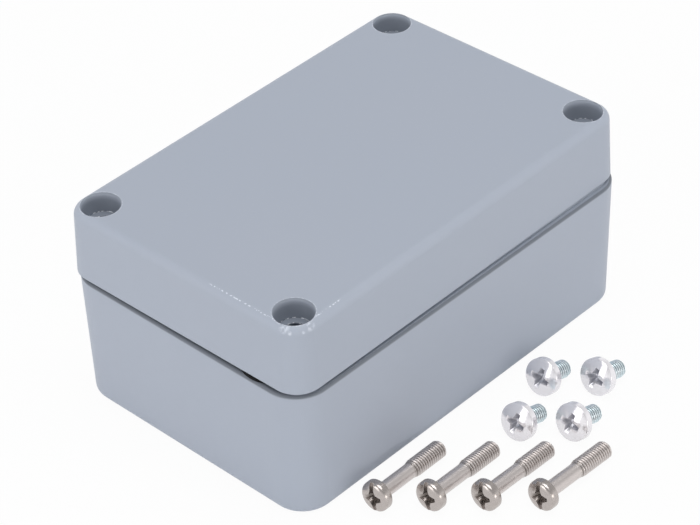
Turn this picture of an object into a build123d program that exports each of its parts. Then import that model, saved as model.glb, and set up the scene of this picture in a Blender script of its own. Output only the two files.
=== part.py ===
from build123d import *
import os
from math import atan, degrees

# Two part die cast aluminium box, its lid lying loose on the base, its eight screws lying beside it.
# Millimetres. X runs along the long side, Y across it, Z up; the origin is the middle of the underside.
os.makedirs("parts", exist_ok=True)

# Base casting, measured over its rim
base_length = 122.0
base_width = 80.4
base_height = 37.8
base_corner_radius = 9.3
base_draft = 1.05           # degrees, narrower at the foot
base_floor = 3.2
foot_round = 1.9
rim_round = 0.9
floor_chamfer = 1.2
cavity_corner = 3.0         # smallest upright corner inside either casting

# Seal: a low tongue on the base's rim presses into a rubber ring that fills a groove in the lid
rim_land = 1.5              # from the base's outer face to the tongue
tongue_width = 1.5
tongue_height = 0.8
tongue_chamfer = 0.2
tongue_ledge = 0.5          # from the tongue to the cavity
groove_clearance = 0.2      # each side of the tongue
gasket_height = 2.0
gasket_recess = 0.2         # from the lid's lower face up to the slack ring
gasket_side_clearance = 0.15
gasket_chamfer = 0.5

# Lid casting
lid_setback = 0.5           # how far the lid stays behind the base's rim
lid_height = 19.0
lid_draft = 2.3             # degrees, narrower at the top
lid_corner_step = 2.4       # the lid's corner is this much tighter than the base's
lid_top = 3.0
lid_top_round = 2.4
lid_foot_bevel = 0.2
lid_inner_lip = 1.0
lid_cavity_chamfer = 1.5
lid_shift_x = -0.33         # the loose lid lies askew, on top of the tongue
lid_shift_y = 0.33
lid_turn = 0.54             # degrees

# Lid screw pillars, in both castings
screw_inset = 7.8           # from the base's outer faces to the screw's middle
base_pillar_radius = 4.8
tapped_radius = 2.1         # for an M5 thread
lid_tapped_depth = 16.0
counterbore_radius = 5.08
counterbore_depth = 5.9
counterbore_wall = 1.7
clearance_hole_radius = 2.75
pillar_blend = 2.0          # fillet where a pillar meets a wall

# Plate bosses on the floor of the base
boss_inset_x = 23.0         # from the base's outer faces
boss_inset_y = 20.2
boss_radius = 4.5
boss_height = 6.0
boss_foot_chamfer = 0.8
boss_tapped_depth = 7.0

# The end of the rubber ring that has crept out of its groove, on the short side near the front
tail_inset = 16.0           # from the base's front long side to the tail's middle
tail_length = 9.0
tail_thickness = 0.22
tail_clearance = 0.02
tail_bulge = 1.25           # how far the foot of the tail swells out of the groove

# Both kinds of screw are M5
thread_radius = 2.4
dome_flat = 0.52            # the flat in the middle of the dome, as a share of the head's radius
cross_length = 4.8
cross_width = 1.3
cross_depth = 1.9
cross_taper = 9.0           # degrees, narrower inside the head
tool_lead = 0.3             # how far the recess tools start outside the head

# Lid screws: tall raised head with a slot through a cross recess, waisted shank
lid_head_radius = 4.05
lid_head_rim = 1.9
lid_head_height = 2.9
lid_screw_shank = 23.6
waist_radius = 2.0
lid_thread_length = 11.0
slot_width = 1.3
slot_depth = 1.3

# Plate screws: wide raised head with a cross recess
plate_head_radius = 4.95
plate_head_rim = 1.8
plate_head_height = 2.9
plate_screw_shank = 8.0

# Loose screws on the ground: middle of the seat along the long side from its front corner,
# distance out from the long side, turn of the shank, and turn of the recess about the shank
lid_screw_places = ((17.55, 8.4, 3.0), (26.15, 18.2, 2.3), (34.9, 28.1, 1.6), (43.95, 38.4, 0.85))
plate_screw_places = ((76.95, 10.9, 0.5), (86.0, 21.3, -0.3), (59.7, 17.4, 1.1), (68.5, 27.7, 0.2))
lid_screw_spin = -13.0
plate_screw_spin = 9.0

# Values that follow from the ones above
groove_depth = gasket_height + gasket_recess
groove_width = tongue_width + 2 * groove_clearance
groove_inset = rim_land - groove_clearance
base_wall = rim_land + tongue_width + tongue_ledge
lid_wall = groove_inset - lid_setback + groove_width + lid_inner_lip
lid_length = base_length - 2 * lid_setback
lid_width = base_width - 2 * lid_setback
lid_corner_radius = base_corner_radius - lid_corner_step
lid_pillar_radius = counterbore_radius + counterbore_wall
lid_seat = base_height + tongue_height
screw_spacing_x = base_length - 2 * screw_inset
screw_spacing_y = base_width - 2 * screw_inset
boss_spacing_x = base_length - 2 * boss_inset_x
boss_spacing_y = base_width - 2 * boss_inset_y
tail_y = tail_inset - base_width / 2


def outline(length, width, corner, inset=0.0):
    """Rounded rectangle, drawn inside the given outline by the inset."""
    radius = max(corner - inset, cavity_corner)
    return RectangleRounded(length - 2 * inset, width - 2 * inset, radius)


def screw_points():
    return GridLocations(screw_spacing_x, screw_spacing_y, 2, 2)


def boss_points():
    return GridLocations(boss_spacing_x, boss_spacing_y, 2, 2)


def ring(length, width, corner, inset, thickness):
    """Flat band that runs round the outline, its outer edge at the inset."""
    outer = outline(length, width, corner, inset)
    return outer - outline(length, width, corner, inset + thickness)


def cavity_face(length, width, corner, wall, pillar_radius):
    """Inside outline: the rounded rectangle with the four pillars standing into it."""
    face = outline(length, width, corner, wall) - screw_points() * Circle(pillar_radius)
    blends = [v for v in face.vertices() if near_pillar(v, pillar_radius)]
    return fillet(blends, pillar_blend)


def raised(height, pieces):
    """The pieces of a pattern, lifted to the given height."""
    return [Pos(0, 0, height) * piece for piece in pieces]


def near_pillar(vertex, pillar_radius):
    reach = [(vertex.center() - place.position).length for place in screw_points()]
    return min(reach) < pillar_radius + 0.01


def base():
    shell = extrude(outline(base_length, base_width, base_corner_radius), -base_height, taper=base_draft)
    shell = fillet(shell.edges().group_by(Axis.Z)[0], foot_round)
    shell = fillet(shell.edges().group_by(Axis.Z)[-1], rim_round)

    tongue = extrude(ring(base_length, base_width, base_corner_radius, rim_land, tongue_width), tongue_height)
    tongue = chamfer(tongue.edges().group_by(Axis.Z)[-1], tongue_chamfer)

    inside = cavity_face(base_length, base_width, base_corner_radius, base_wall, base_pillar_radius)
    cavity = extrude(inside, base_floor - base_height)
    cavity = chamfer(cavity.edges().group_by(Axis.Z)[0], floor_chamfer)
    shell = Pos(0, 0, base_height) * (shell + tongue - cavity)

    boss = extrude(Circle(boss_radius), -boss_height)
    shell += raised(base_floor + boss_height, boss_points() * boss)
    feet = [e for e in shell.edges().filter_by(GeomType.CIRCLE) if is_boss_foot(e)]
    shell = chamfer(feet, boss_foot_chamfer)

    shell -= raised(base_height, screw_points() * tapped_hole(lid_tapped_depth))
    shell -= raised(base_floor + boss_height, boss_points() * tapped_hole(boss_tapped_depth))
    return shell


def is_boss_foot(edge):
    on_floor = abs(edge.center().Z - base_floor) < 0.01
    return on_floor and abs(edge.radius - boss_radius) < 0.01


def tapped_hole(depth):
    """Hole for a screw thread, open at the top."""
    return Pos(0, 0, -depth / 2) * Cylinder(tapped_radius, depth)


def lid_place():
    """Where the loose lid lies: its lower face on top of the tongue."""
    return Pos(lid_shift_x, lid_shift_y, lid_seat) * Rot(0, 0, lid_turn)


def lid():
    shell = extrude(outline(lid_length, lid_width, lid_corner_radius), lid_height, taper=lid_draft)
    shell = fillet(shell.edges().group_by(Axis.Z)[-1], lid_top_round)
    shell = chamfer(shell.edges().group_by(Axis.Z)[0], lid_foot_bevel)

    inside = cavity_face(lid_length, lid_width, lid_corner_radius, lid_wall, lid_pillar_radius)
    cavity = extrude(inside, lid_height - lid_top)
    cavity = chamfer(cavity.edges().group_by(Axis.Z)[-1], lid_cavity_chamfer)
    groove = ring(base_length, base_width, base_corner_radius, groove_inset, groove_width)
    shell -= cavity + extrude(groove, groove_depth)

    counterbore = Pos(0, 0, lid_height - counterbore_depth / 2) * Cylinder(counterbore_radius, counterbore_depth)
    clearance = Pos(0, 0, lid_height / 2) * Cylinder(clearance_hole_radius, lid_height)
    return shell - screw_points() * (counterbore + clearance)


def gasket():
    """Rubber ring in the lid's groove, with the end that has crept down into the open seam."""
    inset = groove_inset + gasket_side_clearance
    width = groove_width - 2 * gasket_side_clearance
    band = extrude(ring(base_length, base_width, base_corner_radius, inset, width), gasket_height)
    band = chamfer(band.edges().group_by(Axis.Z)[0], gasket_chamfer)
    band = Pos(0, 0, groove_depth - gasket_height) * band

    return band + gasket_tail()


def gasket_tail():
    """Flap down the groove's outer wall, and the swollen foot that shows between the lid and the rim."""
    outer = groove_inset + tail_clearance - base_length / 2
    inner = outer + tail_thickness
    flap_top = groove_depth - gasket_chamfer
    flap = Pos(outer, tail_y, -tongue_height) * Box(
        groove_width / 2, tail_length, flap_top + tongue_height, align=(Align.MIN, Align.CENTER, Align.MIN)
    )
    below = Pos(inner, tail_y, gasket_recess + gasket_chamfer) * Box(
        groove_width, 2 * tail_length, groove_depth * 2, align=(Align.MIN, Align.CENTER, Align.MAX)
    )
    ends = (inner, tail_y - tail_length / 2), (inner, tail_y + tail_length / 2)
    swell = ThreePointArc(ends[0], (inner - tail_bulge, tail_y), ends[1])
    foot = extrude(make_face(swell + Line(*ends)), tongue_height - tail_clearance, dir=(0, 0, 1))
    return flap - below + Pos(0, 0, -tongue_height) * foot


def screw_blank(head_radius, head_rim, head_height, *shank):
    """Screw turned about X: head on the left, its seat at X = 0, then the given points of the shank."""
    profile = Polyline(
        (-head_height, 0),
        (-head_height, head_radius * dome_flat),
        (-head_rim, head_radius),
        (0, head_radius),
        *shank,
        close=True,
    )
    return revolve(Plane.XZ * make_face(profile), Axis.X)


def cross_recess(head_height):
    """Cross shaped recess, narrowing as it goes into the head from the left."""
    arms = Rectangle(cross_length, cross_width) + Rectangle(cross_width, cross_length)
    cut = extrude(Plane.YZ * arms, cross_depth + tool_lead, taper=cross_taper)
    return Pos(-head_height - tool_lead, 0, 0) * cut


def lid_screw():
    thread_start = lid_screw_shank - lid_thread_length
    waist = (0, waist_radius), (thread_start, waist_radius)
    thread = (thread_start, thread_radius), (lid_screw_shank, thread_radius), (lid_screw_shank, 0)
    blank = screw_blank(lid_head_radius, lid_head_rim, lid_head_height, *waist, *thread)
    slot = Box(slot_depth + tool_lead, slot_width, 3 * lid_head_radius, align=(Align.MIN, Align.CENTER, Align.CENTER))
    slot = Pos(-lid_head_height - tool_lead, 0, 0) * slot
    return blank - cross_recess(lid_head_height) - slot


def plate_screw():
    thread = (0, thread_radius), (plate_screw_shank, thread_radius), (plate_screw_shank, 0)
    return screw_blank(plate_head_radius, plate_head_rim, plate_head_height, *thread) - cross_recess(plate_head_height)


def lying(screw, head_radius, head_rim, shank, place, spin):
    """The screw on the ground, on its head's rim and the end of its thread."""
    along, out, yaw = place
    tilt = degrees(atan((head_radius - thread_radius) / (shank + head_rim / 2)))
    tipped = Rot(0, tilt, 0) * Rot(spin, 0, 0) * screw
    lowest = tipped.bounding_box().min.Z
    return Pos(along - base_length / 2, -out - base_width / 2, -lowest) * Rot(0, 0, yaw) * tipped


export_step(base(), "parts/base.step")
export_step(lid_place() * lid(), "parts/lid.step")
export_step(lid_place() * gasket(), "parts/gasket.step")

for index, place in enumerate(lid_screw_places, start=1):
    piece = lying(lid_screw(), lid_head_radius, lid_head_rim, lid_screw_shank, place, lid_screw_spin)
    export_step(piece, f"parts/lid_screw_{index}.step")

for index, place in enumerate(plate_screw_places, start=1):
    piece = lying(plate_screw(), plate_head_radius, plate_head_rim, plate_screw_shank, place, plate_screw_spin)
    export_step(piece, f"parts/plate_screw_{index}.step")
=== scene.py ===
import math
import bmesh
import bpy
from mathutils import Matrix, Vector


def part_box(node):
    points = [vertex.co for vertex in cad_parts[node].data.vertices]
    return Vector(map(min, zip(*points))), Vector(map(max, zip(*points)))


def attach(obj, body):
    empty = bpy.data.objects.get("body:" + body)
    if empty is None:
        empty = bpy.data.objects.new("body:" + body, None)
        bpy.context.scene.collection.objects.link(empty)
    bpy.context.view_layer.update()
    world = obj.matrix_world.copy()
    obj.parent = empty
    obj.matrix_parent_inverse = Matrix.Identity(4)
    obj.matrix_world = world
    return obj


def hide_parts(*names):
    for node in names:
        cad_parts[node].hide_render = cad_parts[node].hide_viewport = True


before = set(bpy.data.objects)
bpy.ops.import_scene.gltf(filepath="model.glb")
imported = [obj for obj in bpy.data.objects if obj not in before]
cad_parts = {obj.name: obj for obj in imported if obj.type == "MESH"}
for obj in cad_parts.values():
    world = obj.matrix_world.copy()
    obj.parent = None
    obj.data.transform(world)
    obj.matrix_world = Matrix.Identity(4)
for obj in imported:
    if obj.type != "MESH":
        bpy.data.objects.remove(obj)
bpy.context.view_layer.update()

mm = 0.001
print("frame loaded:", len(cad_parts), "nodes")


# node helpers

def startMaterial(name):
    material = bpy.data.materials.new(name)
    material.use_nodes = True
    tree = material.node_tree
    tree.nodes.clear()
    out = tree.nodes.new("ShaderNodeOutputMaterial")
    shader = tree.nodes.new("ShaderNodeBsdfPrincipled")
    tree.links.new(shader.outputs[0], out.inputs[0])
    return material, tree, shader


def wire(tree, source, target):
    tree.links.new(source, target)


def maths(tree, operation, first, second=None):
    node = tree.nodes.new("ShaderNodeMath")
    node.operation = operation
    for socket, value in zip(node.inputs, (first, second)):
        if isinstance(value, (int, float)):
            socket.default_value = value
        elif value is not None:
            wire(tree, value, socket)
    return node.outputs[0]


def noise(tree, place, scale, detail=2.0):
    node = tree.nodes.new("ShaderNodeTexNoise")
    node.inputs["Scale"].default_value = scale
    node.inputs["Detail"].default_value = detail
    wire(tree, place, node.inputs["Vector"])
    return node.outputs["Fac"]


def remap(tree, value, start, end, low=0.0, high=1.0, kind="LINEAR"):
    # start..end becomes low..high and is held at both ends; start may be the larger one
    node = tree.nodes.new("ShaderNodeMapRange")
    node.interpolation_type = kind
    for name, number in (("From Min", start), ("From Max", end), ("To Min", low), ("To Max", high)):
        node.inputs[name].default_value = number
    wire(tree, value, node.inputs["Value"])
    return node.outputs["Result"]


def spread(tree, value, low, high):
    return remap(tree, value, 0.0, 1.0, low, high)


def band(tree, value, low, high, soft):
    # 1 between low and high, 0 outside, with soft ends
    up = remap(tree, value, low - soft, low + soft)
    down = remap(tree, value, high + soft, high - soft)
    return maths(tree, "MULTIPLY", up, down)


def blendColours(tree, amount, first, second):
    node = tree.nodes.new("ShaderNodeMix")
    node.data_type = "RGBA"
    wire(tree, amount, node.inputs["Factor"])
    for name, value in (("A", first), ("B", second)):
        socket = [s for s in node.inputs if s.name == name and s.type == "RGBA"][0]
        if isinstance(value, tuple):
            socket.default_value = (*value, 1.0)
        else:
            wire(tree, value, socket)
    return [s for s in node.outputs if s.type == "RGBA"][0]


def objectPlace(tree):
    return tree.nodes.new("ShaderNodeTexCoord").outputs["Object"]


def splitPlace(tree, place):
    node = tree.nodes.new("ShaderNodeSeparateXYZ")
    wire(tree, place, node.inputs[0])
    return node.outputs["X"], node.outputs["Y"], node.outputs["Z"]


def squareSum(tree, first, second):
    return maths(tree, "ADD", maths(tree, "MULTIPLY", first, first), maths(tree, "MULTIPLY", second, second))


def softEdges(tree, radius, samples=6):
    # rounds hard edges in the shading
    node = tree.nodes.new("ShaderNodeBevel")
    node.samples = samples
    node.inputs["Radius"].default_value = radius
    return node.outputs["Normal"]


def bump(tree, height, distance, strength, normal=None):
    node = tree.nodes.new("ShaderNodeBump")
    node.inputs["Distance"].default_value = distance
    node.inputs["Strength"].default_value = strength
    wire(tree, height, node.inputs["Height"])
    if normal is not None:
        wire(tree, normal, node.inputs["Normal"])
    return node.outputs["Normal"]


# the coat on both castings: silver grey powder, satin, with a fine orange peel

coatLook = {
    "colour": (0.418, 0.462, 0.543),
    "warmerPatch": (0.428, 0.463, 0.540),
    "patchScale": 22.0,
    "patchDetail": 3.0,
    "grainScale": 3400.0,
    "grainHeight": 0.03 * mm,
    "grainStrength": 0.30,
    "peelScale": 620.0,
    "peelHeight": 0.05 * mm,
    "peelStrength": 0.35,
    "roughness": (0.40, 0.52),
    "specular": 0.35,
    "edgeRadius": 0.25 * mm,
}


def powderCoat(name):
    material, tree, shader = startMaterial(name)
    place = objectPlace(tree)
    patches = noise(tree, place, coatLook["patchScale"], coatLook["patchDetail"])
    colour = blendColours(tree, patches, coatLook["colour"], coatLook["warmerPatch"])
    grain = noise(tree, place, coatLook["grainScale"])
    peel = noise(tree, place, coatLook["peelScale"])
    normal = softEdges(tree, coatLook["edgeRadius"])
    normal = bump(tree, peel, coatLook["peelHeight"], coatLook["peelStrength"], normal)
    normal = bump(tree, grain, coatLook["grainHeight"], coatLook["grainStrength"], normal)
    wire(tree, spread(tree, peel, *coatLook["roughness"]), shader.inputs["Roughness"])
    wire(tree, normal, shader.inputs["Normal"])
    shader.inputs["Specular IOR Level"].default_value = coatLook["specular"]
    return material, tree, shader, place, colour


# the coat colour darkened by a share, used for painted shade
def paintedShadeColour(share):
    return tuple(channel * share for channel in coatLook["colour"])


# painted shade: the base's rim is painted darker down in the seam, where the lid shades it, and the top of
# the gap is painted less dark on the two long sides

seamShadeLook = {
    "rim": (36.70 * mm, 37.35 * mm),  # heights where the shade starts and is full
    "rimShade": 0.41,
    "gap": (37.68 * mm, 37.80 * mm),  # from here up it is lighter again, on the two long sides
    "gapShade": 0.82,
    "longSides": (35.6 * mm, 36.6 * mm),
}


def baseCoat():
    material, tree, shader, place, colour = powderCoat("basePowderCoat")
    y, z = splitPlace(tree, place)[1:]
    rimShadeAmount = remap(tree, z, *seamShadeLook["rim"], kind="SMOOTHSTEP")
    colour = blendColours(tree, rimShadeAmount, colour, paintedShadeColour(seamShadeLook["rimShade"]))
    onLongSides = remap(tree, maths(tree, "ABSOLUTE", y), *seamShadeLook["longSides"])
    gapShadeAmount = maths(tree, "MULTIPLY", remap(tree, z, *seamShadeLook["gap"]), onLongSides)
    colour = blendColours(tree, gapShadeAmount, colour, paintedShadeColour(seamShadeLook["gapShade"]))
    wire(tree, colour, shader.inputs["Base Color"])
    return material


# where the loose lid lies on the base

lidPlace = {"shift": (-0.33 * mm, 0.33 * mm), "turn": math.radians(0.54)}

# painted highlights: pale glinting specks painted into the lid's coat colour along its front edges and
# beside the front screw hole

glintLook = {
    "colour": (0.74, 0.78, 0.86),
    "edgeHeight": 56.6 * mm,
    "shortEdge": (-58.35 * mm, -58.05 * mm),
    "shortReach": (-34.0 * mm, -10.0 * mm),
    "longEdge": (-37.55 * mm, -37.25 * mm),
    "longReach": (-51.0 * mm, -43.0 * mm),
    "lineSoft": 0.05 * mm,
    "endSoft": 0.5 * mm,
    "dotScale": 1500.0,
    "dotDetail": 1.0,
    "dotShare": (0.47, 0.56),
    "patches": ((-58.3 * mm, -34.3 * mm, 56.8 * mm), (-58.5 * mm, -36.1 * mm, 56.3 * mm),
                (-54.0 * mm, -38.0 * mm, 56.9 * mm), (-56.2 * mm, -38.3 * mm, 56.3 * mm)),
    "patchRadii": (1.25 * mm, 0.50 * mm, 1.25 * mm, 0.42 * mm),
    "patchFade": (1.25, 0.6),  # as shares of the radius: nothing past the first, full inside the second
    "patchAmount": 0.72,
    "speckScale": 900.0,
    "speckShare": (0.42, 0.60),
}

# painted shade in the lid's screw holes, darker below the mouth, and a painted highlight, a pale dotted line
# round the mouth

boreLook = {
    "x": 53.2 * mm,
    "y": 32.4 * mm,
    "mouth": (5.12 * mm, 5.34 * mm),
    "mouthSoft": 0.06 * mm,
    "mouthAmount": (0.16, 0.55),  # between the dots, and on them
    "reach": 5.3 * mm,
    "shadeHeights": (57.4 * mm, 55.6 * mm),
    "shade": 0.66,
}


def lidCoat():
    material, tree, shader, place, colour = powderCoat("lidPowderCoat")
    turned = tree.nodes.new("ShaderNodeMapping")
    turned.vector_type = "TEXTURE"  # takes the lid's turn and shift away again
    turned.inputs["Location"].default_value = (*lidPlace["shift"], 0.0)
    turned.inputs["Rotation"].default_value = (0.0, 0.0, lidPlace["turn"])
    wire(tree, place, turned.inputs["Vector"])
    x, y, z = splitPlace(tree, turned.outputs["Vector"])

    # painted highlights: dotted lines on two edges
    shortEdge = maths(tree, "MULTIPLY", band(tree, x, *glintLook["shortEdge"], glintLook["lineSoft"]),
                      band(tree, y, *glintLook["shortReach"], glintLook["endSoft"]))
    longEdge = maths(tree, "MULTIPLY", band(tree, y, *glintLook["longEdge"], glintLook["lineSoft"]),
                     band(tree, x, *glintLook["longReach"], glintLook["endSoft"]))
    high = maths(tree, "GREATER_THAN", z, glintLook["edgeHeight"])
    edges = maths(tree, "MULTIPLY", maths(tree, "MAXIMUM", shortEdge, longEdge), high)
    dots = noise(tree, place, glintLook["dotScale"], glintLook["dotDetail"])
    dots = remap(tree, dots, *glintLook["dotShare"])
    glint = maths(tree, "MULTIPLY", edges, dots)

    # painted highlights: speckled patches at the front corner
    specks = remap(tree, noise(tree, place, glintLook["speckScale"]), *glintLook["speckShare"])
    outer, inner = glintLook["patchFade"]
    most = glintLook["patchAmount"]
    for middle, radius in zip(glintLook["patches"], glintLook["patchRadii"]):
        away = tree.nodes.new("ShaderNodeVectorMath")
        away.operation = "DISTANCE"
        wire(tree, turned.outputs["Vector"], away.inputs[0])
        away.inputs[1].default_value = middle
        near = remap(tree, away.outputs["Value"], radius * outer, radius * inner, 0.0, most)
        glint = maths(tree, "MAXIMUM", glint, maths(tree, "MULTIPLY", near, specks))

    # painted highlight round the mouths and painted shade on the walls of the screw holes
    along = maths(tree, "SUBTRACT", maths(tree, "ABSOLUTE", x), boreLook["x"])
    across = maths(tree, "SUBTRACT", maths(tree, "ABSOLUTE", y), boreLook["y"])
    fromHole = maths(tree, "SQRT", squareSum(tree, along, across))
    mouth = maths(tree, "MULTIPLY", band(tree, fromHole, *boreLook["mouth"], boreLook["mouthSoft"]), high)
    mouthHighlight = maths(tree, "MULTIPLY", mouth, spread(tree, dots, *boreLook["mouthAmount"]))
    glint = maths(tree, "MAXIMUM", glint, mouthHighlight)
    inBore = maths(tree, "LESS_THAN", fromHole, boreLook["reach"])
    deep = maths(tree, "MULTIPLY", inBore, remap(tree, z, *boreLook["shadeHeights"]))
    colour = blendColours(tree, deep, colour, paintedShadeColour(boreLook["shade"]))
    wire(tree, blendColours(tree, glint, colour, glintLook["colour"]), shader.inputs["Base Color"])
    return material


# bare cast metal on the corners of the screw ledges, where the coat is worn off in spots

bareLook = {
    "colour": (0.82, 0.84, 0.88),
    "darker": (0.20, 0.22, 0.26),
    "blotchScale": 1300.0,
    "blotchShare": (0.46, 0.60),
    "blotchHeight": 0.02 * mm,
    "blotchStrength": 0.4,
    "roughness": (0.28, 0.45),
}


def bareMetal():
    material, tree, shader = startMaterial("bareCastMetal")
    blotch = noise(tree, objectPlace(tree), bareLook["blotchScale"])
    bright = remap(tree, blotch, *bareLook["blotchShare"])
    colour = blendColours(tree, bright, bareLook["darker"], bareLook["colour"])
    normal = bump(tree, blotch, bareLook["blotchHeight"], bareLook["blotchStrength"])
    wire(tree, colour, shader.inputs["Base Color"])
    wire(tree, spread(tree, blotch, *bareLook["roughness"]), shader.inputs["Roughness"])
    wire(tree, normal, shader.inputs["Normal"])
    shader.inputs["Metallic"].default_value = 1.0
    return material


# the rubber ring, nearly black

rubberLook = {
    "colour": (0.004, 0.004, 0.005),
    "paler": (0.010, 0.010, 0.011),
    "grainScale": 1800.0,
    "grainHeight": 0.03 * mm,
    "grainStrength": 0.4,
    "roughness": (0.55, 0.75),
    "specular": 0.08,
}


def ringRubber():
    material, tree, shader = startMaterial("ringRubber")
    grain = noise(tree, objectPlace(tree), rubberLook["grainScale"])
    colour = blendColours(tree, grain, rubberLook["colour"], rubberLook["paler"])
    normal = bump(tree, grain, rubberLook["grainHeight"], rubberLook["grainStrength"])
    wire(tree, colour, shader.inputs["Base Color"])
    wire(tree, spread(tree, grain, *rubberLook["roughness"]), shader.inputs["Roughness"])
    wire(tree, normal, shader.inputs["Normal"])
    shader.inputs["Specular IOR Level"].default_value = rubberLook["specular"]
    return material


# screw metals: turned marks run round the screw's own X axis

turnedLook = {
    "detail": 3.0,
    "markStrength": 0.35,
    "edgeRadius": 0.05 * mm,
    "neck": (0.0, 0.3 * mm),  # the head's finish turns into the shank's here
    "recessDepth": (0.12 * mm, 1.1 * mm),
    "recessMargin": 0.3 * mm,
    "endShare": 0.35,  # of the point, kept free of the grooves' painted shade
}

steelLook = {
    "colour": (0.54, 0.495, 0.475),
    "darker": (0.42, 0.38, 0.36),
    "shankColour": (0.68, 0.63, 0.61),
    "shankDarker": (0.58, 0.535, 0.52),
    # painted shade in the thread's grooves
    "grooveShadeColour": (0.24, 0.215, 0.20),
    "grooveStart": 0.30,
    # painted shade in the head's recess
    "recessShadeColour": (0.21, 0.185, 0.17),
    "metallic": 0.82,
    "roughness": (0.18, 0.26),
    "shankRougher": 0.14,
    "markStretch": (1.0, 0.15, 0.15),
    "markScale": 2600.0,
    "markHeight": 0.008 * mm,
    "blotchScale": 420.0,
}

zincLook = {
    "colour": (0.91, 0.89, 0.92),
    "darker": (0.85, 0.83, 0.86),
    "shankColour": (0.67, 0.89, 0.97),
    "shankDarker": (0.95, 0.96, 0.97),
    # painted shade in the thread's grooves
    "grooveShadeColour": (0.02, 0.05, 0.07),
    "grooveStart": 0.12,
    # painted shade in the head's recess
    "recessShadeColour": (0.58, 0.58, 0.62),
    "metallic": 0.50,
    "roughness": (0.11, 0.17),
    "shankRougher": 0.04,
    "markStretch": (1.0, 0.3, 0.3),
    "markScale": 1500.0,
    "markHeight": 0.006 * mm,
    "blotchScale": 300.0,
}


def turnedMetal(name, look, spec):
    material, tree, shader = startMaterial(name)
    own = tree.nodes.new("ShaderNodeAttribute")
    own.attribute_name = "screwPlace"
    place = own.outputs["Vector"]
    marks = tree.nodes.new("ShaderNodeMapping")
    marks.inputs["Scale"].default_value = look["markStretch"]
    wire(tree, place, marks.inputs["Vector"])
    lines = noise(tree, marks.outputs["Vector"], look["markScale"], turnedLook["detail"])
    blotch = noise(tree, place, look["blotchScale"], turnedLook["detail"])
    normal = softEdges(tree, turnedLook["edgeRadius"])
    normal = bump(tree, lines, look["markHeight"], turnedLook["markStrength"], normal)
    wire(tree, normal, shader.inputs["Normal"])

    along, side, up = splitPlace(tree, place)
    squares = squareSum(tree, side, up)
    radius = maths(tree, "SQRT", squares)
    shank = remap(tree, along, *turnedLook["neck"])
    rough = maths(tree, "ADD", spread(tree, blotch, *look["roughness"]),
                  maths(tree, "MULTIPLY", shank, look["shankRougher"]))
    wire(tree, rough, shader.inputs["Roughness"])

    # painted shade: the recess is painted darker the deeper it goes below the dome, whose face falls away as
    # radius squared
    head = blendColours(tree, blotch, look["colour"], look["darker"])
    dome = maths(tree, "MULTIPLY", squares, 0.5 / domeRadius(spec))
    depth = maths(tree, "SUBTRACT", maths(tree, "SUBTRACT", along, headFace(spec)), dome)
    flatReach = spec["headRadius"] - spec["edgeRound"] - turnedLook["recessMargin"]
    inside = maths(tree, "LESS_THAN", radius, flatReach)
    recessShadeAmount = maths(tree, "MULTIPLY", remap(tree, depth, *turnedLook["recessDepth"]), inside)
    head = blendColours(tree, recessShadeAmount, head, look["recessShadeColour"])

    # painted shade: the thread's grooves are painted dark
    shankColour = blendColours(tree, blotch, look["shankColour"], look["shankDarker"])
    threadStart = spec["shank"] - spec["threadLength"]
    grooveTop = spec["threadRadius"] - spec["threadDepth"] * look["grooveStart"]
    groove = remap(tree, radius, grooveTop, spec["threadRadius"] - spec["threadDepth"])
    threaded = remap(tree, along, threadStart - spec["runIn"], threadStart)
    cleanEnd = spec["shank"] - spec["point"] * turnedLook["endShare"]
    beforeEnd = remap(tree, along, cleanEnd, spec["shank"] - spec["point"])
    grooveShadeAmount = maths(tree, "MULTIPLY", groove, maths(tree, "MULTIPLY", threaded, beforeEnd))
    shankColour = blendColours(tree, grooveShadeAmount, shankColour, look["grooveShadeColour"])

    wire(tree, blendColours(tree, shank, head, shankColour), shader.inputs["Base Color"])
    shader.inputs["Metallic"].default_value = look["metallic"]
    return material


# screws: one turned mesh for each kind, the helix in the radius, the recess cut out afterwards

lidScrew = {
    "headRadius": 4.05 * mm,
    "rimHeight": 1.48 * mm,
    "edgeRound": 1.02 * mm,
    "domeAngle": 16.0,
    "waistRadius": 2.0 * mm,
    "threadRadius": 2.36 * mm,
    "threadDepth": 0.43 * mm,
    "pitch": 0.8 * mm,
    "shank": 23.6 * mm,
    "threadLength": 11.6 * mm,
    "runIn": 0.9 * mm,
    "point": 0.75 * mm,
    "neckFillet": 0.3 * mm,
    "crossLength": 5.2 * mm,
    "crossWidth": 2.1 * mm,
    "crossTip": 0.9 * mm,
    "crossDepth": 2.4 * mm,
    "slotWidth": 1.2 * mm,
    "slotDepth": 1.15 * mm,
    "spin": -13.0,
    "yaws": (3.0, 2.3, 1.6, 0.85),
}

plateScrew = {
    "headRadius": 4.95 * mm,
    "rimHeight": 1.80 * mm,
    "edgeRound": 0.28 * mm,
    "domeAngle": 25.0,
    "waistRadius": 2.3 * mm,
    "threadRadius": 2.36 * mm,
    "threadDepth": 0.43 * mm,
    "pitch": 0.8 * mm,
    "shank": 8.0 * mm,
    "threadLength": 7.1 * mm,
    "runIn": 0.4 * mm,
    "point": 0.55 * mm,
    "neckFillet": 0.25 * mm,
    "crossLength": 6.2 * mm,
    "crossWidth": 1.9 * mm,
    "crossTip": 1.25 * mm,
    "crossDepth": 2.2 * mm,
    "slotWidth": 0.0,
    "slotDepth": 0.0,
    "spin": 9.0,
    "yaws": (0.5, -0.3, 1.1, 0.2),
}

turnedSteps = {"around": 64, "perPitch": 9, "dome": 9, "edge": 5, "plain": 6, "lead": 5}

turnedShape = {
    "seatEdge": 0.12 * mm,
    "rootFlat": 0.14,  # flat bottom and slope of the thread, as shares of half a pitch
    "slope": 0.68,
    "smoothBelow": 38.0,
    "weld": 0.0005 * mm,
}


def domeRadius(spec):
    angle = math.radians(spec["domeAngle"])
    return (spec["headRadius"] - spec["edgeRound"] * (1.0 - math.sin(angle))) / math.sin(angle)


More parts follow.
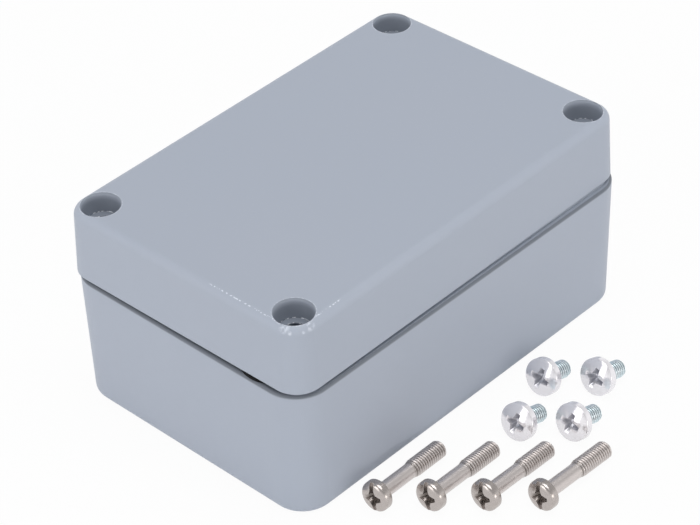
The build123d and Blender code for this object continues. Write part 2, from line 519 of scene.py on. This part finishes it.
def headFace(spec):
    # x of the middle of the dome
    angle = math.radians(spec["domeAngle"])
    domeHeight = domeRadius(spec) * (1.0 - math.cos(angle))
    return -spec["rimHeight"] - spec["edgeRound"] * math.cos(angle) - domeHeight


def headProfile(spec):
    # from the middle of the dome out to the seat, as (x, radius)
    steep = math.radians(spec["domeAngle"])
    points = [(headFace(spec), 0.0)]
    for step in range(1, turnedSteps["dome"] + 1):
        angle = steep * step / turnedSteps["dome"]
        points.append((headFace(spec) + domeRadius(spec) * (1.0 - math.cos(angle)),
                       domeRadius(spec) * math.sin(angle)))
    reach = spec["headRadius"] - spec["edgeRound"]
    for step in range(1, turnedSteps["edge"] + 1):
        angle = steep + (math.pi / 2 - steep) * step / turnedSteps["edge"]
        points.append((-spec["rimHeight"] - spec["edgeRound"] * math.cos(angle),
                       reach + spec["edgeRound"] * math.sin(angle)))
    points.append((-turnedShape["seatEdge"], spec["headRadius"]))
    points.append((0.0, spec["headRadius"] - turnedShape["seatEdge"]))
    points.append((0.0, spec["waistRadius"] + spec["neckFillet"]))
    points.append((spec["neckFillet"], spec["waistRadius"]))
    return points


def shankPlaces(spec):
    start = spec["shank"] - spec["threadLength"]
    smooth = start - spec["runIn"] - spec["neckFillet"]
    steps = turnedSteps["plain"]
    plain = [spec["neckFillet"] + smooth * k / steps for k in range(1, steps + 1)]
    steps = turnedSteps["lead"]
    lead = [start - spec["runIn"] + spec["runIn"] * k / steps for k in range(1, steps)]
    rows = int(spec["threadLength"] / spec["pitch"] * turnedSteps["perPitch"])
    return plain + lead + [start + spec["threadLength"] * k / rows for k in range(rows + 1)]


def threadRadius(spec, x, turn):
    start = spec["shank"] - spec["threadLength"]
    if x < start - spec["runIn"]:
        return spec["waistRadius"]
    root = spec["threadRadius"] - spec["threadDepth"]
    ramp = min(1.0, (x - start + spec["runIn"]) / spec["runIn"])
    base = spec["waistRadius"] + (root - spec["waistRadius"]) * ramp
    phase = ((x - start) / spec["pitch"] - turn) % 1.0
    crest = abs(phase - 0.5) * 2.0 - turnedShape["rootFlat"]
    tooth = min(1.0, max(0.0, crest / turnedShape["slope"]))
    grow = min(1.0, max(0.0, (x - start + spec["runIn"]) / (2.0 * spec["runIn"])))
    radius = base + (spec["threadRadius"] - base) * tooth * grow
    return min(radius, spec["threadRadius"] - spec["point"] + (spec["shank"] - x))


def turnedBlank(name, spec):
    around = turnedSteps["around"]
    head = headProfile(spec)
    mesh = bmesh.new()
    middle = mesh.verts.new((head[0][0], 0.0, 0.0))
    rows = []
    for x, radius in head[1:]:
        rows.append(ringRow(mesh, around, x, lambda turn, r=radius: r))
    for x in shankPlaces(spec):
        rows.append(ringRow(mesh, around, x, lambda turn, at=x: threadRadius(spec, at, turn)))
    tip = mesh.verts.new((spec["shank"], 0.0, 0.0))
    for k in range(around):
        mesh.faces.new((middle, rows[0][k], rows[0][(k + 1) % around]))
        mesh.faces.new((tip, rows[-1][(k + 1) % around], rows[-1][k]))
    joinLoops(mesh, rows)
    bmesh.ops.recalc_face_normals(mesh, faces=mesh.faces)
    return finishMesh(name, mesh)


def ringRow(mesh, around, x, radiusAt):
    row = []
    for k in range(around):
        angle = 2.0 * math.pi * k / around
        radius = radiusAt(k / around)
        row.append(mesh.verts.new((x, radius * math.cos(angle), radius * math.sin(angle))))
    return row


def joinLoops(mesh, loops):
    # a band of faces between each loop of points and the next; gives the bands back in order
    bands = []
    for first, second in zip(loops, loops[1:]):
        count = len(first)
        faces = []
        for k in range(count):
            after = (k + 1) % count
            faces.append(mesh.faces.new((first[k], second[k], second[after], first[after])))
        bands.append(faces)
    return bands


def finishMesh(name, mesh):
    data = bpy.data.meshes.new(name)
    mesh.to_mesh(data)
    mesh.free()
    piece = bpy.data.objects.new(name, data)
    bpy.context.scene.collection.objects.link(piece)
    return piece


# the recess tools start a little outside the head, by their lead; each level of the cross is depth, length
# and width, as shares of the screw's own, and the slot's length is in head radii

recessShape = {
    "crossLead": 0.4 * mm,
    "crossLevels": ((0.0, 1.0, 1.0), (0.75, 0.58, 0.72), (1.0, 0.30, 0.45)),
    "slotLead": 0.5 * mm,
    "slotLength": 3,
}


def crossTool(spec):
    # four wings, wide at the middle and narrow at the tips, sloping inwards as they go down
    mesh = bmesh.new()
    face = headFace(spec)
    levels = [(face - recessShape["crossLead"], 1.0, 1.0)]
    for deep, long, wide in recessShape["crossLevels"]:
        levels.append((face + spec["crossDepth"] * deep, long, wide))
    loops = []
    for x, long, wide in levels:
        tip = spec["crossTip"] / 2 * wide
        corner = spec["crossWidth"] / 2 * wide
        reach = spec["crossLength"] / 2 * long
        quarter = [(reach, -tip), (reach, tip), (corner, corner)]
        outline = []
        for step in range(4):
            outline += [turnQuarter(point, step) for point in quarter]
        loops.append([mesh.verts.new((x, y, z)) for y, z in outline])
    mesh.faces.new(loops[0])
    mesh.faces.new(list(reversed(loops[-1])))
    joinLoops(mesh, loops)
    bmesh.ops.recalc_face_normals(mesh, faces=mesh.faces)
    return finishMesh("crossTool", mesh)


def turnQuarter(point, step):
    y, z = point
    for quarter in range(step):
        y, z = -z, y
    return y, z


def slotTool(spec):
    mesh = bmesh.new()
    bmesh.ops.create_cube(mesh, size=1.0)
    lead = recessShape["slotLead"]
    face = headFace(spec)
    length = spec["headRadius"] * recessShape["slotLength"]
    size = Matrix.Diagonal((spec["slotDepth"] + lead, spec["slotWidth"], length, 1.0))
    middle = Matrix.Translation((face + (spec["slotDepth"] - lead) / 2, 0, 0))
    mesh.transform(middle @ size)
    return finishMesh("slotTool", mesh)


def cutOut(piece, tools):
    for tool in tools:
        cut = piece.modifiers.new("cut", "BOOLEAN")
        cut.operation = "DIFFERENCE"
        cut.solver = "EXACT"
        cut.object = tool
    graph = bpy.context.evaluated_depsgraph_get()
    data = bpy.data.meshes.new_from_object(piece.evaluated_get(graph))
    piece.modifiers.clear()
    piece.data = data
    for tool in tools:
        bpy.data.objects.remove(tool, do_unlink=True)


def shadeByAngle(piece, degrees):
    mesh = bmesh.new()
    mesh.from_mesh(piece.data)
    bmesh.ops.remove_doubles(mesh, verts=mesh.verts, dist=turnedShape["weld"])
    limit = math.radians(degrees)
    for edge in mesh.edges:
        edge.smooth = len(edge.link_faces) != 2 or edge.calc_face_angle(0.0) < limit
    for face in mesh.faces:
        face.smooth = True
    mesh.to_mesh(piece.data)
    mesh.free()


def makeScrewMesh(name, spec, material):
    piece = turnedBlank(name, spec)
    tools = [crossTool(spec)]
    if spec["slotWidth"] > 0.0:
        tools.append(slotTool(spec))
    cutOut(piece, tools)
    shadeByAngle(piece, turnedShape["smoothBelow"])
    piece.data.materials.clear()
    piece.data.materials.append(material)
    data = piece.data
    # each point keeps its place along and round the screw, for the turned marks
    own = data.attributes.new("screwPlace", "FLOAT_VECTOR", "POINT")
    own.data.foreach_set("vector", [value for vertex in data.vertices for value in vertex.co])
    bpy.data.objects.remove(piece, do_unlink=True)
    return data


def layScrew(node, data, spec, yaw):
    # lies where the frame's screw lies: same turn, same tilt, same middle, on the ground
    low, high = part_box(node)
    reach = spec["shank"] - spec["point"] + spec["rimHeight"] / 2
    tilt = math.atan((spec["headRadius"] - spec["threadRadius"]) / reach)
    turn = Matrix.Rotation(math.radians(yaw), 4, "Z") @ Matrix.Rotation(tilt, 4, "Y")
    turn = turn @ Matrix.Rotation(math.radians(spec["spin"]), 4, "X")
    points = [turn @ v.co for v in data.vertices]
    middle = [(min(p[k] for p in points) + max(p[k] for p in points)) / 2 for k in range(2)]
    ground = min(p.z for p in points)
    shift = Vector(((low[0] + high[0]) / 2 - middle[0], (low[1] + high[1]) / 2 - middle[1], -ground))
    data = data.copy()
    data.transform(Matrix.Translation(shift) @ turn)
    piece = bpy.data.objects.new(node + "_turned", data)
    bpy.context.scene.collection.objects.link(piece)
    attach(piece, "root")
    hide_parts(node)
    return piece


# the castings and the ring keep the frame's own shape and take the finishes

def dress(node, material):
    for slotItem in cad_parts[node].material_slots:
        slotItem.material = material


# the lid screw holes narrow a little as cast, down to the ledge that the head sits on, with bare corners;
# each corner is a radius and a depth below the lid's top

ledgeLook = {
    "mouth": (5.09 * mm, 0.10 * mm),
    "wallFoot": (4.42 * mm, 5.14 * mm),
    "land": (4.30 * mm, 5.26 * mm),
    "rim": (2.60 * mm, 5.26 * mm),
    "bore": (2.48 * mm, 5.38 * mm),
    "boreFoot": (2.48 * mm, 5.92 * mm),
    "back": (5.10 * mm, 5.92 * mm),
    "bareBands": (1, 3),
    "around": 72,
}


def makeLedge(name, x, y, coat, bare):
    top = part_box("lid")[1][2]
    around = ledgeLook["around"]
    corners = ("mouth", "wallFoot", "land", "rim", "bore", "boreFoot", "back")
    place = Matrix.Translation((*lidPlace["shift"], top)) @ Matrix.Rotation(lidPlace["turn"], 4, "Z")
    mesh = bmesh.new()
    rows = []
    for corner in corners:
        radius, drop = ledgeLook[corner]
        row = []
        for k in range(around):
            angle = 2.0 * math.pi * k / around
            point = Vector((x + radius * math.cos(angle), y + radius * math.sin(angle), -drop))
            row.append(mesh.verts.new(place @ point))
        rows.append(row)
    bands = joinLoops(mesh, rows + rows[:1])
    for level in ledgeLook["bareBands"]:
        for face in bands[level]:
            face.material_index = 1
    bmesh.ops.recalc_face_normals(mesh, faces=mesh.faces)
    piece = finishMesh(name, mesh)
    shadeByAngle(piece, turnedShape["smoothBelow"])
    piece.data.materials.append(coat)
    piece.data.materials.append(bare)
    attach(piece, "root")


lidFinish = lidCoat()
bareFinish = bareMetal()
dress("base", baseCoat())
dress("lid", lidFinish)
dress("gasket", ringRubber())
for index, (sideX, sideY) in enumerate(((-1, -1), (-1, 1), (1, -1), (1, 1)), start=1):
    makeLedge(f"screw_ledge_{index}", sideX * boreLook["x"], sideY * boreLook["y"], lidFinish, bareFinish)
print("castings and rubber ring finished")

lidScrewMesh = makeScrewMesh("lidScrewMesh", lidScrew, turnedMetal("screwSteel", steelLook, lidScrew))
plateScrewMesh = makeScrewMesh("plateScrewMesh", plateScrew, turnedMetal("screwZinc", zincLook, plateScrew))
for index, yaw in enumerate(lidScrew["yaws"], start=1):
    layScrew(f"lid_screw_{index}", lidScrewMesh, lidScrew, yaw)
for index, yaw in enumerate(plateScrew["yaws"], start=1):
    layScrew(f"plate_screw_{index}", plateScrewMesh, plateScrew, yaw)
print("screws:", len(lidScrewMesh.polygons), "and", len(plateScrewMesh.polygons), "faces each")


# stage: white ground and air, a tall soft box on the left, a broad one overhead, a low weak one on the right

stageLook = {
    "groundSize": 4.0,
    "groundWhite": 0.90,
    "shownWhite": 0.95,  # how much of the ground is plain white to the eye, the rest keeps the shadows
    "airColour": (0.98, 0.99, 1.0),
    "horizonLight": 1.15,
    "ceilingLight": 0.22,
    "seenCeiling": 0.50,
    "ceilingStart": (0.18, 0.62),  # how far up, 0 at the horizon and 1 overhead
}


def shownMask(tree):
    # camera, mirror and glass rays see the plain white
    path = tree.nodes.new("ShaderNodeLightPath")
    seen = maths(tree, "MAXIMUM", path.outputs["Is Camera Ray"], path.outputs["Is Glossy Ray"])
    return maths(tree, "MAXIMUM", seen, path.outputs["Is Transmission Ray"])


def makeGround():
    mesh = bmesh.new()
    bmesh.ops.create_grid(mesh, x_segments=2, y_segments=2, size=stageLook["groundSize"] / 2)
    ground = finishMesh("ground", mesh)
    material = bpy.data.materials.new("groundWhite")
    material.use_nodes = True
    tree = material.node_tree
    tree.nodes.clear()
    out = tree.nodes.new("ShaderNodeOutputMaterial")
    matt = tree.nodes.new("ShaderNodeBsdfDiffuse")
    matt.inputs["Color"].default_value = (stageLook["groundWhite"],) * 3 + (1.0,)
    plain = tree.nodes.new("ShaderNodeEmission")
    mix = tree.nodes.new("ShaderNodeMixShader")
    wire(tree, maths(tree, "MULTIPLY", shownMask(tree), stageLook["shownWhite"]), mix.inputs["Fac"])
    wire(tree, matt.outputs[0], mix.inputs[1])
    wire(tree, plain.outputs[0], mix.inputs[2])
    wire(tree, mix.outputs[0], out.inputs[0])
    ground.data.materials.append(material)


def makeAir():
    # bright round the horizon, darker overhead
    world = bpy.data.worlds.new("studioAir")
    bpy.context.scene.world = world
    world.use_nodes = True
    tree = world.node_tree
    tree.nodes.clear()
    out = tree.nodes.new("ShaderNodeOutputWorld")
    way = tree.nodes.new("ShaderNodeTexCoord")
    up = splitPlace(tree, way.outputs["Generated"])[2]
    fade = remap(tree, up, *stageLook["ceilingStart"], kind="SMOOTHSTEP")
    light = spread(tree, fade, stageLook["horizonLight"], stageLook["ceilingLight"])
    shown = spread(tree, fade, 1.0, stageLook["seenCeiling"])
    air = tree.nodes.new("ShaderNodeBackground")
    white = tree.nodes.new("ShaderNodeBackground")
    air.inputs["Color"].default_value = (*stageLook["airColour"], 1.0)
    white.inputs["Color"].default_value = (1.0, 1.0, 1.0, 1.0)
    wire(tree, light, air.inputs["Strength"])
    wire(tree, shown, white.inputs["Strength"])
    mix = tree.nodes.new("ShaderNodeMixShader")
    wire(tree, shownMask(tree), mix.inputs["Fac"])
    wire(tree, air.outputs[0], mix.inputs[1])
    wire(tree, white.outputs[0], mix.inputs[2])
    wire(tree, mix.outputs[0], out.inputs[0])


softBoxes = {
    "leftBox": {
        "place": (-1.0, 0.18, 0.45),
        "size": (0.4, 0.8),
        "power": 2.28,
        "tint": (1.0, 0.99, 0.98),
    },
    "overheadBox": {
        "place": (0.10, -0.10, 1.25),
        "size": (0.9, 0.9),
        "power": 8.1,
        "tint": (0.99, 0.995, 1.0),
    },
    "rightBox": {
        "place": (-0.05, -1.10, 0.20),
        "size": (0.9, 0.24),
        "power": 1.55,
        "tint": (1.0, 0.96, 0.90),
    },
}

lampAim = (0.0, 0.0, 0.03)


def makeSoftBox(name, box):
    lamp = bpy.data.lights.new(name, "AREA")
    lamp.shape = "RECTANGLE"
    lamp.size, lamp.size_y = box["size"]
    lamp.energy = box["power"]
    lamp.color = box["tint"]
    item = bpy.data.objects.new(name, lamp)
    item.location = box["place"]
    item.rotation_euler = (Vector(lampAim) - Vector(box["place"])).to_track_quat("-Z", "Y").to_euler()
    bpy.context.scene.collection.objects.link(item)


cameraPlace = {
    "place": (-0.387301, -0.378825, 0.439497),
    "turn": (52.529, 1.8494, -46.9828),
    "lens": 137.26,
    "sensor": 36.0,
    "nearest": 0.01,
}


def makeCamera():
    data = bpy.data.cameras.new("photoCamera")
    data.sensor_width = cameraPlace["sensor"]
    data.lens = cameraPlace["lens"]
    data.clip_start = cameraPlace["nearest"]
    camera = bpy.data.objects.new("photoCamera", data)
    camera.location = cameraPlace["place"]
    camera.rotation_euler = [math.radians(angle) for angle in cameraPlace["turn"]]
    bpy.context.scene.collection.objects.link(camera)
    bpy.context.scene.camera = camera


makeGround()
makeAir()
for name, box in softBoxes.items():
    makeSoftBox(name, box)
makeCamera()
bpy.context.scene.view_settings.view_transform = "Standard"
print("stage, light and camera set")
